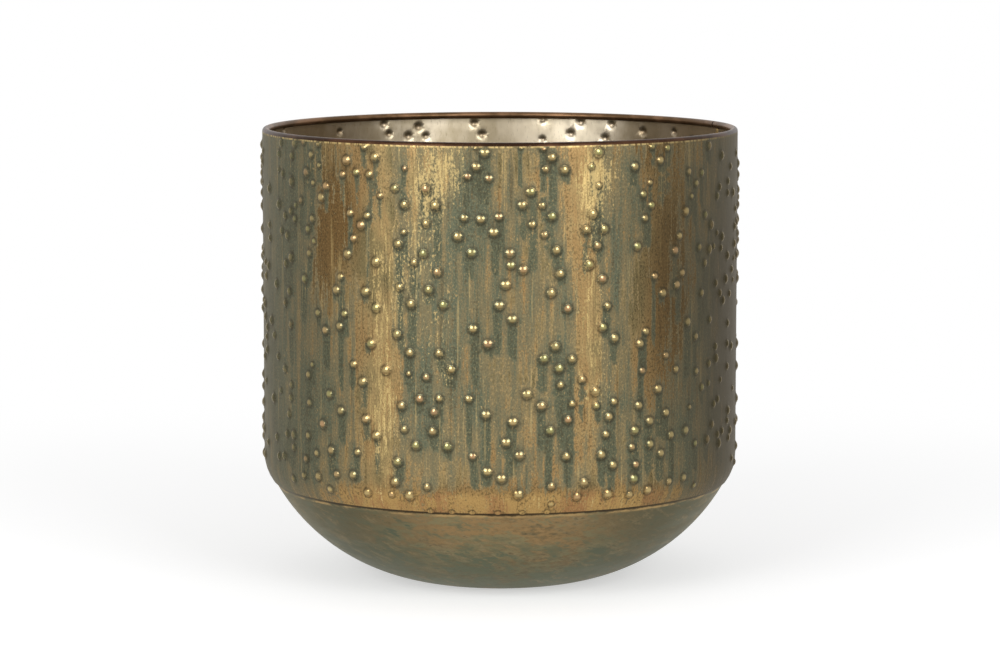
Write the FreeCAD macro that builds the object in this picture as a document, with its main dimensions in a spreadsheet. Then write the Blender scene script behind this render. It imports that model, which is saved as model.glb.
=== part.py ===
import FreeCAD, Part
import math
import os

import Sketcher
from FreeCAD import Placement, Rotation, Vector

# Cachepot of thin sheet metal, in millimetres and degrees.
# Origin at the middle of the flat foot, +Z up. The photograph looks along +Y, with +X to its right.
# The wall is one rolled sheet. Its top edge is curled inward round a wire, and its foot edge bends
# inward and laps over a pressed bowl, which ends in the flat foot that the pot stands on.
# The wall is pressed all over with round domes. Its solid has the large ones, with their dimples.

SIZES = {
    # whole pot
    "pot_diameter": 300.0,
    "pot_height": 286.0,
    "sheet_thickness": 0.8,
    # wall
    "seam_level": 62.7,
    "shoulder_radius": 27.0,
    "shoulder_inset": 5.2,
    "butt_gap": 0.5,
    "butt_azimuth": 20.0,
    "dome_radius": 3.3,
    "dome_height": 1.5,
    # wired rim
    "wire_diameter": 2.4,
    "wire_clearance": 0.2,
    "curl_turn": 285.0,
    # bowl
    "foot_diameter": 112.0,
    "bowl_radius": 122.7,
    "lap_height": 11.0,
    "lap_clearance": 0.1,
    # welds on the inside
    "weld_clearance": 0.1,
    "base_weld_leg": 2.2,
    "seam_weld_width": 5.0,
    "seam_weld_rise": 0.9,
}

# Places of the large domes at the front, from the rim down: degrees to the right of the front's
# middle, and share of the height above the seam. The back repeats them, turned half round.
FRONT_AZIMUTH = -90.0
HALF_ROUND = 180.0
DOME_TURNS_AND_SHARES = [
    (11.85, 0.96), (-29.9, 0.955), (-37.9, 0.943), (39.9, 0.942), (-5.4, 0.9355), (32.5, 0.929),
    (14.8, 0.926), (-51.5, 0.902), (-17.15, 0.875), (-44.4, 0.869), (7, 0.869), (5.05, 0.834),
    (-22.3, 0.831), (-14.8, 0.831), (21.7, 0.8065), (11.9, 0.803), (48.65, 0.798), (-4.35, 0.796),
    (-33.8, 0.77), (20.05, 0.765), (24.45, 0.765), (-1.4, 0.761), (-9.65, 0.7495), (-23.85, 0.725),
    (22.75, 0.721), (33.35, 0.7135), (12.9, 0.712), (-6.45, 0.7065), (2.25, 0.7055), (-17.7, 0.702),
    (44.85, 0.694), (-37.7, 0.69), (-29.7, 0.674), (20.75, 0.671), (5.3, 0.661), (-14.4, 0.653),
    (13.8, 0.649), (24.05, 0.6315), (1.25, 0.621), (-52.6, 0.609), (-16.4, 0.605), (45.5, 0.6),
    (11.7, 0.598), (-32.55, 0.591), (-41.2, 0.589), (40.9, 0.5815), (-0.15, 0.5655),
    (-12.95, 0.5655), (-20.7, 0.565), (15.55, 0.555), (-29.7, 0.5495), (2.8, 0.528),
    (-6.15, 0.5025), (24.2, 0.5005), (49.5, 0.494), (-40.15, 0.4915), (-24.2, 0.4815),
    (-44.85, 0.476), (27.2, 0.469), (-2.75, 0.462), (12.7, 0.4535), (-31.15, 0.451), (34.2, 0.449),
    (-13.95, 0.435), (-21, 0.4335), (10.05, 0.4215), (16.6, 0.418), (13.6, 0.3945), (-11.1, 0.3925),
    (-27.1, 0.3825), (-33.45, 0.3455), (22.4, 0.328), (6.15, 0.326), (39.6, 0.3205), (-18.6, 0.31),
    (-43.6, 0.302), (9.45, 0.294), (-23.1, 0.2885), (33.85, 0.281), (-15.15, 0.2755), (-3.2, 0.271),
    (-39.9, 0.2605), (25.8, 0.257), (15.7, 0.255), (42.1, 0.253), (2.95, 0.251), (-32.6, 0.2445),
    (37.05, 0.235), (11.5, 0.2265), (-15.55, 0.223), (-45.9, 0.217), (32.8, 0.2135),
    (-29.8, 0.2015), (1.45, 0.196), (48.95, 0.196), (43.75, 0.19), (-19.6, 0.183), (-12.05, 0.183),
    (37.2, 0.172), (4.45, 0.161), (15.3, 0.1555), (23.9, 0.155), (-43.05, 0.148), (40.5, 0.143),
    (-24.2, 0.135), (26.9, 0.1245), (-2.9, 0.1165),
]

START = 1
END = 2
CENTRE = 3
ORIGIN = (-1, 1)

doc = FreeCAD.newDocument("cachepot")
sheet = doc.addObject("Spreadsheet::Sheet", "sizes")
for row, (name, amount) in enumerate(SIZES.items(), start=1):
    sheet.set(f"A{row}", name)
    sheet.set(f"B{row}", str(amount))
    sheet.setAlias(f"B{row}", name)
reader = doc.addObject("App::FeaturePython", "sizes_reader")
doc.recompute()

# Sizes that several pieces share, written as expressions on the sheet
WALL_RADIUS = "sizes.pot_diameter / 2"
SHOULDER_REACH = f"({WALL_RADIUS} - sizes.shoulder_radius)"
SHOULDER_LEVEL = (
    "(sizes.seam_level"
    " + sqrt(sizes.shoulder_radius ^ 2 - (sizes.shoulder_radius - sizes.shoulder_inset) ^ 2))"
)
SHEET = "sizes.sheet_thickness"
CURL_INSIDE = "(sizes.wire_diameter / 2 + sizes.wire_clearance)"
CURL_OUTSIDE = f"({CURL_INSIDE} + {SHEET})"
LAP_DEPTH = f"({SHEET} + sizes.lap_clearance)"
LAP_INSIDE = f"({LAP_DEPTH} + {SHEET})"
WELD_FACE = f"({SHEET} + sizes.weld_clearance)"
LAP_TOP = "(sizes.seam_level + sizes.lap_height)"
BASE_WELD_TOP = f"({LAP_TOP} + sizes.base_weld_leg)"
CURL_BOTTOM = f"(sizes.pot_height - 2 * {CURL_OUTSIDE})"


def value(expression):
    """The length that an expression on the sheet comes to."""
    return float(reader.evalExpression(expression))


def point(across, up):
    """A point of the section, from two expressions."""
    return Vector(value(across), value(up), 0)


def on_circle(centre, radius, angle):
    return centre + Vector(math.cos(angle), math.sin(angle), 0) * radius


def add_body(name):
    body = doc.addObject("PartDesign::Body", name)
    body.Label = name
    return body


def section_sketch(body, name):
    """A sketch in the upright plane: across is the radius, up is the height."""
    sketch = body.newObject("Sketcher::SketchObject", name)
    plane = next(part for part in body.Origin.OriginFeatures if part.Role == "XZ_Plane")
    sketch.AttachmentSupport = [(plane, "")]
    sketch.MapMode = "FlatFace"
    return sketch


def add_line(sketch, start, end):
    return sketch.addGeometry(Part.LineSegment(start, end), False)


def add_arc(sketch, centre, radius, start, end):
    circle = Part.Circle(centre, Vector(0, 0, 1), radius)
    return sketch.addGeometry(Part.ArcOfCircle(circle, start, end), False)


def fix(sketch, kind, *places):
    sketch.addConstraint(Sketcher.Constraint(kind, *places))


def bind(sketch, kind, places, expression):
    """Add a dimension and tie it to the sheet."""
    constraint = Sketcher.Constraint(kind, *places, value(expression))
    index = sketch.addConstraint(constraint)
    sketch.setExpression(f"Constraints[{index}]", expression)


def bind_place(sketch, geometry, corner, across=None, up=None):
    """Tie a point's distances from the origin to the sheet."""
    if across:
        bind(sketch, "DistanceX", (*ORIGIN, geometry, corner), across)
    if up:
        bind(sketch, "DistanceY", (*ORIGIN, geometry, corner), up)


def join(sketch, first, first_end, second, second_end):
    fix(sketch, "Coincident", first, first_end, second, second_end)


def run_on(sketch, first, first_end, second, second_end):
    """Join two edges without a corner."""
    fix(sketch, "Tangent", first, first_end, second, second_end)


def revolve(body, sketch, name, angle=None, both_ways=False):
    """Turn a sketch about the pot's axis, through a full turn if no angle is given."""
    feature = body.newObject("PartDesign::Revolution", name)
    feature.Profile = sketch
    feature.ReferenceAxis = (sketch, ["V_Axis"])
    feature.Midplane = both_ways
    feature.Angle = 360
    if angle:
        feature.setExpression("Angle", angle)
    return feature


def turn_of(length):
    """The angle that a length takes up on the wall's round, in degrees."""
    return f"({length}) / ({WALL_RADIUS}) * 180 / pi"


def shoulder_circle(depth):
    """Centre and radius of the shoulder's bend, at a depth below the wall's outer face."""
    centre = point(SHOULDER_REACH, SHOULDER_LEVEL)
    return centre, value(f"sizes.shoulder_radius - {depth}")


def shoulder_angle():
    """How far the shoulder turns in, from its upright top to the wall's foot edge."""
    return math.acos(1 - value("sizes.shoulder_inset / sizes.shoulder_radius"))


def angle_down_to(level, depth):
    """How far below its upright top the bend passes a level."""
    centre, radius = shoulder_circle(depth)
    return math.asin((centre.y - value(level)) / radius)


def add_shoulder_arc(sketch, depth, bottom, top=0.0):
    """An arc of the shoulder's bend, tied to the bend's centre and radius."""
    centre, radius = shoulder_circle(depth)
    arc = add_arc(sketch, centre, radius, -bottom, -top)
    bind(sketch, "Radius", (arc,), f"sizes.shoulder_radius - {depth}")
    return arc


def place_shoulder(sketch, arc):
    bind_place(sketch, arc, CENTRE, SHOULDER_REACH, SHOULDER_LEVEL)


def make_side_wall():
    """The rolled sheet: a straight wall with an inward curl on top and a bent-in foot edge."""
    body = add_body("plain_wall")
    sketch = section_sketch(body, "wall_section")
    curl_centre = point(f"{WALL_RADIUS} - {CURL_OUTSIDE}", f"sizes.pot_height - {CURL_OUTSIDE}")
    curl_turn = math.radians(value("sizes.curl_turn"))
    outer_curl = value(CURL_OUTSIDE)
    inner_curl = value(CURL_INSIDE)
    inner_wall = f"{WALL_RADIUS} - {SHEET}"
    bend = shoulder_angle()
    bend_centre, bend_radius = shoulder_circle("0")
    inner_bend_radius = shoulder_circle(SHEET)[1]

    outer_bend = add_shoulder_arc(sketch, "0", bend)
    outside = add_line(
        sketch,
        point(WALL_RADIUS, SHOULDER_LEVEL),
        Vector(value(WALL_RADIUS), curl_centre.y, 0),
    )
    outer = add_arc(sketch, curl_centre, outer_curl, 0, curl_turn)
    curl_end = add_line(
        sketch,
        on_circle(curl_centre, outer_curl, curl_turn),
        on_circle(curl_centre, inner_curl, curl_turn),
    )
    inner = add_arc(sketch, curl_centre, inner_curl, 0, curl_turn)
    inside = add_line(
        sketch,
        Vector(value(inner_wall), curl_centre.y, 0),
        point(inner_wall, SHOULDER_LEVEL),
    )
    inner_bend = add_shoulder_arc(sketch, SHEET, bend)
    foot_edge = add_line(
        sketch,
        on_circle(bend_centre, inner_bend_radius, -bend),
        on_circle(bend_centre, bend_radius, -bend),
    )

    run_on(sketch, outer_bend, END, outside, START)
    run_on(sketch, outside, END, outer, START)
    join(sketch, outer, END, curl_end, START)
    join(sketch, curl_end, END, inner, END)
    run_on(sketch, inner, START, inside, START)
    run_on(sketch, inside, END, inner_bend, END)
    join(sketch, inner_bend, START, foot_edge, START)
    join(sketch, foot_edge, END, outer_bend, START)
    join(sketch, outer, CENTRE, inner, CENTRE)
    join(sketch, outer_bend, CENTRE, inner_bend, CENTRE)
    fix(sketch, "Vertical", outside)
    fix(sketch, "PointOnObject", outer_bend, CENTRE, foot_edge)
    fix(sketch, "PointOnObject", outer, CENTRE, curl_end)
    bind(sketch, "Radius", (outer,), CURL_OUTSIDE)
    bind(sketch, "Radius", (inner,), CURL_INSIDE)
    bind_place(sketch, outside, START, across=WALL_RADIUS)
    bind_place(sketch, outer, CENTRE, up=f"sizes.pot_height - {CURL_OUTSIDE}")
    bind_place(
        sketch, outer_bend, START, f"{WALL_RADIUS} - sizes.shoulder_inset", "sizes.seam_level"
    )
    curl_angle = Sketcher.Constraint("Angle", curl_end, curl_turn - math.pi)
    index = sketch.addConstraint(curl_angle)
    sketch.setExpression(f"Constraints[{index}]", "sizes.curl_turn - 180")

    revolve(body, sketch, "rolled_sheet", f"360 - {turn_of('sizes.butt_gap')}")
    body.Placement = from_butt(turn_of("sizes.butt_gap / 2"))
    return press_domes(body)


def dome_tools():
    """A dome's outside and its dimple at azimuth zero: two balls, the outer one cut off in the sheet."""
    height = value("sizes.dome_height")
    radius = (value("sizes.dome_radius") ** 2 + height ** 2) / (2 * height)
    middle = Vector(value(WALL_RADIUS) + height - radius, 0, 0)
    outer_ball = Part.makeSphere(radius, middle)
    dimple = Part.makeSphere(radius - value(SHEET), middle)
    block_start = Vector(value(f"{WALL_RADIUS} - {SHEET} / 2"), -radius, -radius)
    block = Part.makeBox(2 * radius, 2 * radius, 2 * radius, block_start)
    return outer_ball.common(block), dimple


def dome_places():
    """Azimuth and level of each large dome, front and back."""
    rise = value("sizes.pot_height - sizes.seam_level")
    for turn, share in DOME_TURNS_AND_SHARES:
        for half in (0, HALF_ROUND):
            yield FRONT_AZIMUTH + turn + half, value("sizes.seam_level") + share * rise


def moved_copy(shape, azimuth, level):
    """A copy of a shape, turned about the pot's axis and raised."""
    copy = shape.copy()
    copy.rotate(Vector(0, 0, 0), Vector(0, 0, 1), azimuth)
    copy.translate(Vector(0, 0, level))
    return copy


def press_domes(plain_wall):
    """The wall with its large domes pressed out: caps added outside, dimples taken out inside."""
    doc.recompute()
    cap, dimple = dome_tools()
    places = list(dome_places())
    caps = [moved_copy(cap, *place) for place in places]
    dimples = [moved_copy(dimple, *place) for place in places]
    wall = doc.addObject("Part::Feature", "side_wall")
    wall.Label = "side_wall"
    wall.Shape = plain_wall.Shape.fuse(caps).cut(dimples)
    return wall


def from_butt(offset="0"):
    """Turn a piece so that it starts at the wall's butt joint, plus an offset in degrees."""
    azimuth = value("sizes.butt_azimuth") + value(offset)
    return Placement(Vector(0, 0, 0), Rotation(Vector(0, 0, 1), azimuth))


def make_rim_wire():
    """The wire inside the curl, bent to a ring whose ends butt opposite the wall's joint."""
    wire = doc.addObject("Part::Torus", "rim_wire")
    wire.Label = "rim_wire"
    wire.setExpression("Radius1", f"{WALL_RADIUS} - {CURL_OUTSIDE}")
    wire.setExpression("Radius2", "sizes.wire_diameter / 2")
    wire.setExpression("Angle3", f"360 - {turn_of('sizes.butt_gap')}")
    height = value(f"sizes.pot_height - {CURL_OUTSIDE}")
    opposite = from_butt("180").Rotation
    wire.Placement = Placement(Vector(0, 0, height), opposite)
    return wire


def make_base_bowl():
    """The pressed bowl: flat foot, round side and a lap that stands up inside the wall."""
    body = add_body("base_bowl")
    sketch = section_sketch(body, "bowl_section")
    bend = shoulder_angle()
    lap_centre, lap_radius = shoulder_circle(LAP_DEPTH)
    seam = on_circle(lap_centre, lap_radius, -bend)
    foot = point("sizes.foot_diameter / 2", "0")
    bowl_centre = centre_of_arc(foot, seam, value("sizes.bowl_radius"))
    inner_radius = value(f"sizes.bowl_radius - {SHEET}")
    to_foot = foot - bowl_centre
    to_seam = seam - bowl_centre
    foot_angle = math.atan2(to_foot.y, to_foot.x)
    seam_angle = math.atan2(to_seam.y, to_seam.x)
    inner_foot = on_circle(bowl_centre, inner_radius, foot_angle)
    inner_floor = value(SHEET)

    foot_line = add_line(sketch, Vector(0, 0, 0), foot)
    outer = add_arc(sketch, bowl_centre, value("sizes.bowl_radius"), foot_angle, seam_angle)
    outer_lap = add_shoulder_arc(sketch, LAP_DEPTH, bend, angle_down_to(LAP_TOP, LAP_DEPTH))
    lap_edge = add_line(sketch, end_point(sketch, outer_lap), lap_corner(LAP_INSIDE))
    inner_lap = add_shoulder_arc(sketch, LAP_INSIDE, bend, angle_down_to(LAP_TOP, LAP_INSIDE))
    inner = add_arc(sketch, bowl_centre, inner_radius, foot_angle, seam_angle)
    floor_line = add_line(
        sketch, Vector(inner_foot.x, inner_floor, 0), Vector(0, inner_floor, 0)
    )
    axis_line = add_line(sketch, Vector(0, inner_floor, 0), Vector(0, 0, 0))

    join(sketch, foot_line, START, *ORIGIN)
    join(sketch, foot_line, END, outer, START)
    join(sketch, outer, END, outer_lap, START)
    join(sketch, outer_lap, END, lap_edge, START)
    join(sketch, lap_edge, END, inner_lap, END)
    join(sketch, inner_lap, START, inner, END)
    join(sketch, inner, START, floor_line, START)
    join(sketch, floor_line, END, axis_line, START)
    join(sketch, axis_line, END, foot_line, START)
    join(sketch, outer, CENTRE, inner, CENTRE)
    join(sketch, outer_lap, CENTRE, inner_lap, CENTRE)
    for level in (foot_line, lap_edge, floor_line):
        fix(sketch, "Horizontal", level)
    fix(sketch, "Vertical", axis_line)
    place_shoulder(sketch, outer_lap)
    bind(sketch, "Radius", (outer,), "sizes.bowl_radius")
    bind(sketch, "Radius", (inner,), f"sizes.bowl_radius - {SHEET}")
    bind_place(sketch, foot_line, END, across="sizes.foot_diameter / 2")
    bind_place(sketch, floor_line, END, up=SHEET)
    bind_place(sketch, outer_lap, END, up=LAP_TOP)
    edge_share = "(1 - sizes.shoulder_inset / sizes.shoulder_radius)"
    seam_radius = f"{SHOULDER_REACH} + (sizes.shoulder_radius - {LAP_DEPTH}) * {edge_share}"
    bind_place(sketch, outer_lap, START, across=seam_radius)

    revolve(body, sketch, "pressed_bowl")
    return body


def centre_of_arc(start, end, radius):
    """Centre of the arc that runs from start to end, bulging down and outward."""
    chord = end - start
    middle = (start + end) / 2
    rise = math.sqrt(radius**2 - (chord.Length / 2) ** 2)
    across = Vector(-chord.y, chord.x, 0).normalize()
    return middle + across * rise


def end_point(sketch, geometry):
    return sketch.getPoint(geometry, END)


def lap_corner(depth):
    """Where the bend at a depth passes the level of the lap's top edge."""
    centre, radius = shoulder_circle(depth)
    return on_circle(centre, radius, -angle_down_to(LAP_TOP, depth))


def make_base_joint_weld():
    """The fillet of filler on top of the lap, against the wall's inner face."""
    body = add_body("base_joint_weld")
    sketch = section_sketch(body, "fillet_section")
    foot_turn = angle_down_to(LAP_TOP, WELD_FACE)
    top_turn = angle_down_to(BASE_WELD_TOP, WELD_FACE)

    on_wall = add_shoulder_arc(sketch, WELD_FACE, foot_turn, top_turn)
    face = add_line(sketch, end_point(sketch, on_wall), lap_corner(LAP_INSIDE))
    on_lap = add_line(sketch, lap_corner(LAP_INSIDE), lap_corner(WELD_FACE))

    join(sketch, on_wall, END, face, START)
    join(sketch, face, END, on_lap, START)
    join(sketch, on_lap, END, on_wall, START)
    fix(sketch, "Horizontal", on_lap)
    place_shoulder(sketch, on_wall)
    bind_place(sketch, on_wall, START, up=LAP_TOP)
    bind_place(sketch, on_wall, END, up=BASE_WELD_TOP)
    inner_lap_radius = f"(sizes.shoulder_radius - {LAP_INSIDE})"
    lap_drop = f"({SHOULDER_LEVEL} - {LAP_TOP})"
    bind_place(
        sketch,
        face,
        END,
        across=f"{SHOULDER_REACH} + sqrt({inner_lap_radius} ^ 2 - {lap_drop} ^ 2)",
    )

    revolve(body, sketch, "fillet_ring")
    return body


def add_seam_strip(body, name, outer_depth, inner_depth):
    """Section of the seam weld between two depths below the wall's outer face."""
    sketch = section_sketch(body, name)
    outer_radius = f"{WALL_RADIUS} - {outer_depth}"
    inner_radius = f"{WALL_RADIUS} - {inner_depth}"
    outer_turn = angle_down_to(BASE_WELD_TOP, outer_depth)
    inner_turn = angle_down_to(BASE_WELD_TOP, inner_depth)

    outer_bend = add_shoulder_arc(sketch, outer_depth, outer_turn)
    outside = add_line(
        sketch, point(outer_radius, SHOULDER_LEVEL), point(outer_radius, CURL_BOTTOM)
    )
    top = add_line(sketch, point(outer_radius, CURL_BOTTOM), point(inner_radius, CURL_BOTTOM))
    inside = add_line(
        sketch, point(inner_radius, CURL_BOTTOM), point(inner_radius, SHOULDER_LEVEL)
    )
    inner_bend = add_shoulder_arc(sketch, inner_depth, inner_turn)
    bend_centre, inner_bend_radius = shoulder_circle(inner_depth)
    bend_radius = shoulder_circle(outer_depth)[1]
    bottom = add_line(
        sketch,
        on_circle(bend_centre, inner_bend_radius, -inner_turn),
        on_circle(bend_centre, bend_radius, -outer_turn),
    )

    run_on(sketch, outer_bend, END, outside, START)
    join(sketch, outside, END, top, START)
    join(sketch, top, END, inside, START)
    run_on(sketch, inside, END, inner_bend, END)
    join(sketch, inner_bend, START, bottom, START)
    join(sketch, bottom, END, outer_bend, START)
    join(sketch, outer_bend, CENTRE, inner_bend, CENTRE)
    for upright in (outside, inside):
        fix(sketch, "Vertical", upright)
    for level in (top, bottom):
        fix(sketch, "Horizontal", level)
    place_shoulder(sketch, outer_bend)
    bind_place(sketch, top, END, up=CURL_BOTTOM)
    bind_place(sketch, bottom, END, up=BASE_WELD_TOP)
    return sketch


def make_side_seam_weld():
    """The weld of the wall's butt joint: it fills the gap and stands a little proud inside."""
    body = add_body("side_seam_weld")
    in_gap = add_seam_strip(body, "gap_section", "0", WELD_FACE)
    revolve(body, in_gap, "gap_filler", turn_of("sizes.butt_gap"), both_ways=True)
    ridge_top = f"({WELD_FACE} + sizes.seam_weld_rise)"
    on_face = add_seam_strip(body, "ridge_section", WELD_FACE, ridge_top)
    revolve(body, on_face, "inner_ridge", turn_of("sizes.seam_weld_width"), both_ways=True)
    body.Placement = from_butt()
    return body


def check(part):
    """Stop unless every feature recomputed and the finished shape is sound."""
    failed = [item.Name for item in doc.Objects if {"Invalid", "Error"} & set(item.State)]
    if failed:
        raise RuntimeError(f"not recomputed: {failed}")
    if part.Shape.isNull() or not part.Shape.isValid() or len(part.Shape.Solids) != 1:
        raise RuntimeError(f"unsound shape: {part.Label}")


parts = [
    make_side_wall(),
    make_rim_wire(),
    make_base_bowl(),
    make_base_joint_weld(),
    make_side_seam_weld(),
]
doc.recompute()
for part in parts:
    check(part)

os.makedirs("parts", exist_ok=True)
for part in parts:
    part.Shape.exportStep(f"parts/{part.Label}.step")
    box = part.Shape.optimalBoundingBox(False, False)
    print(part.Label, f"volume {part.Shape.Volume:.1f}", f"levels {box.ZMin:.2f} to {box.ZMax:.2f}")
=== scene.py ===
# %% [markdown]
# # A cachepot of aged sheet brass
#
# The real pot is a straight round wall of thin sheet, punched all over with small domes, rolled up and
# curled over a wire at the top. Its foot edge laps over a pressed bowl that ends in a flat foot.
# The maker's model of it is packed already: five plain solids with their true sizes. This lesson
# dresses them. Everything is in metres, in the solids' own frame, so nothing has to be fitted.

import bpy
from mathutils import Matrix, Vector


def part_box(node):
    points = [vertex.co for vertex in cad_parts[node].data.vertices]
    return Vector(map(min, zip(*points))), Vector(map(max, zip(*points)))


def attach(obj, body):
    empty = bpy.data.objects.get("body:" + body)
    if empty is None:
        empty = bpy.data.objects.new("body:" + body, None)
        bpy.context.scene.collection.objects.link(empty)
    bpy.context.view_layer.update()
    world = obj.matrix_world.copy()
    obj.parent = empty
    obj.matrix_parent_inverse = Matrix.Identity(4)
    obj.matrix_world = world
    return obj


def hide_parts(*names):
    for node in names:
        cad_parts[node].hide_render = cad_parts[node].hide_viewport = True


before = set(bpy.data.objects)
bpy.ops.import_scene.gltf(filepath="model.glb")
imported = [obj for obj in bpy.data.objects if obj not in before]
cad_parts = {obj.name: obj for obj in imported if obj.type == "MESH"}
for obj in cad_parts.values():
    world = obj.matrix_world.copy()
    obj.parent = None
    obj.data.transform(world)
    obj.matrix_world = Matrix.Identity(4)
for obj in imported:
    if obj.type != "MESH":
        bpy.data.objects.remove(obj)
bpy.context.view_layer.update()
print("nodes:", ", ".join(sorted(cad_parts)))

# %% Other modules, and two helpers that the lesson uses
import math
import random
from collections import namedtuple
from types import SimpleNamespace

import bmesh
import bpy
from mathutils import Euler, Vector
from mathutils.geometry import delaunay_2d_cdt


def clamped(value):
    """The value, kept between nothing and one."""
    return min(1.0, max(0.0, value))


def set_up(name, data):
    """Makes an object of a mesh, a lamp or a camera, and puts it in the scene."""
    thing = bpy.data.objects.new(name, data)
    bpy.context.scene.collection.objects.link(thing)
    return thing


print("clamped:", [clamped(value) for value in (-2, 0.5, 3)])

# %% [markdown]
# ## The section of the wall
#
# A wall like this is one strip of sheet with the same section all the way round: a bend that turns in
# at the foot, a straight stretch, and a curl of a little under one turn at the top. The strip's own
# length measures it best, because the domes are punched while the sheet is still flat. So one
# function here tells where a point of the flat strip ends up, and which way the sheet faces there.

# %% Sizes of the wall's section
MM = 0.001
wall_low, wall_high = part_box("side_wall")
WALL_RADIUS = round(wall_high.x, 4)
RIM_LEVEL = round(wall_high.z, 4)
SEAM_LEVEL = round(wall_low.z, 5)
SHEET = 0.8 * MM
SHOULDER_RADIUS = 27 * MM
SHOULDER_INSET = 5.2 * MM
CURL_RADIUS = 2.2 * MM
CURL_TURN = math.radians(285)

shoulder_turn = math.acos(1 - SHOULDER_INSET / SHOULDER_RADIUS)
SHOULDER_LEVEL = SEAM_LEVEL + SHOULDER_RADIUS * math.sin(shoulder_turn)
CURL_LEVEL = RIM_LEVEL - CURL_RADIUS
bend_length = SHOULDER_RADIUS * shoulder_turn
straight_length = CURL_LEVEL - SHOULDER_LEVEL
curl_length = CURL_RADIUS * CURL_TURN
strip_width = bend_length + straight_length + curl_length
print(f"flat strip {strip_width / MM:.1f} mm wide")


# %% Where a point of the strip ends up in the section
def wall_section(along):
    """Radius, height and outward direction, at a distance along the strip from its foot edge."""
    if along < bend_length:
        turn = along / SHOULDER_RADIUS - shoulder_turn
        centre, level, reach = WALL_RADIUS - SHOULDER_RADIUS, SHOULDER_LEVEL, SHOULDER_RADIUS
    elif along < bend_length + straight_length:
        return WALL_RADIUS, SHOULDER_LEVEL + along - bend_length, (1.0, 0.0)
    else:
        turn = (along - bend_length - straight_length) / CURL_RADIUS
        centre, level, reach = WALL_RADIUS - CURL_RADIUS, CURL_LEVEL, CURL_RADIUS
    facing = (math.cos(turn), math.sin(turn))
    return centre + reach * facing[0], level + reach * facing[1], facing


def along_at_level(level):
    """Distance along the strip at which the wall passes a height."""
    if level >= SHOULDER_LEVEL:
        return bend_length + level - SHOULDER_LEVEL
    return SHOULDER_RADIUS * (shoulder_turn + math.asin((level - SHOULDER_LEVEL) / SHOULDER_RADIUS))


for along in (0, bend_length, bend_length + straight_length, strip_width):
    radius, level, _ = wall_section(along)
    print(f"at {along / MM:5.1f} mm: radius {radius / MM:.1f}, height {level / MM:.1f}")
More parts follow.
